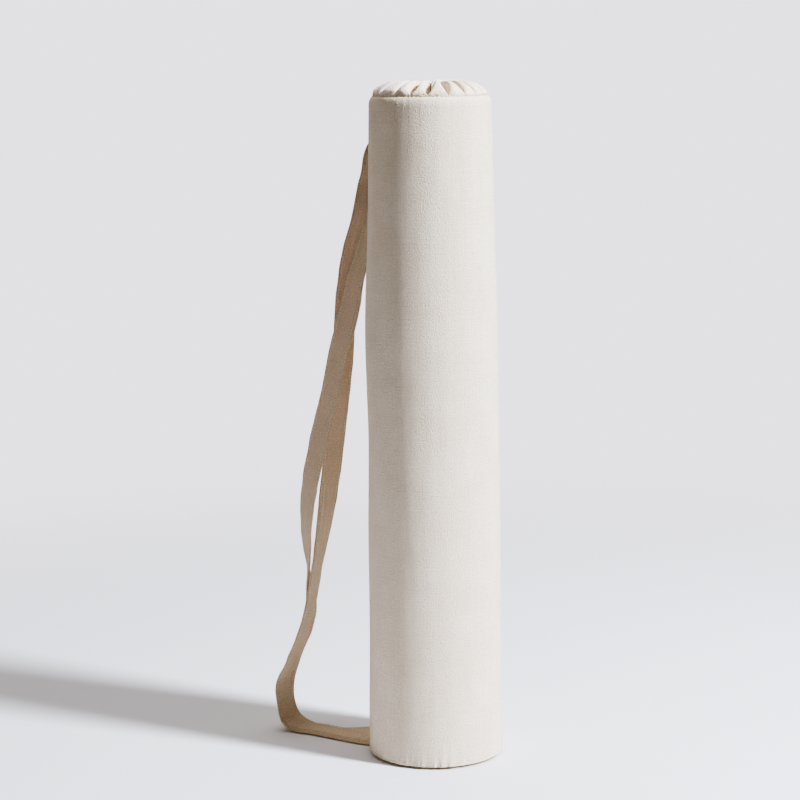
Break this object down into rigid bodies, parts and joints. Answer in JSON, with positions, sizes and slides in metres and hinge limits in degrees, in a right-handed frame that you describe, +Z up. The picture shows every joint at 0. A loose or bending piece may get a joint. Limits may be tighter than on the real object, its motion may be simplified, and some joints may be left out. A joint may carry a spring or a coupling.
{
  "type": "yoga mat bag",
  "caption": "Tall round cloth bag for a rolled exercise mat, with a pleated gathered top and cloth carry straps that hang behind it.",
  "frame": {"origin": "middle of the base panel, on the floor that the bag stands on", "axes": "+Z up along the bag, -Y towards the front, +X to the right seen from the front, so the straps hang towards -X and +Y"},
  "size_m": [0.2198, 0.1634, 0.6305],
  "materials": {
    "body_cloth": "undyed plain woven cotton and linen, matt",
    "top_cloth": "undyed plain woven cotton and linen, matt, in pleats",
    "base_cloth": "undyed plain woven cotton and linen, matt",
    "strap_cloth": "undyed woven cotton tape, matt, stitched along both edges"
  },
  "bodies": {
    "root": {"base_panel": "base_cloth", "tube_body": "body_cloth", "gathered_top": "top_cloth", "strap_front": "strap_cloth", "strap_rear": "strap_cloth"}
  },
  "joints": []
}
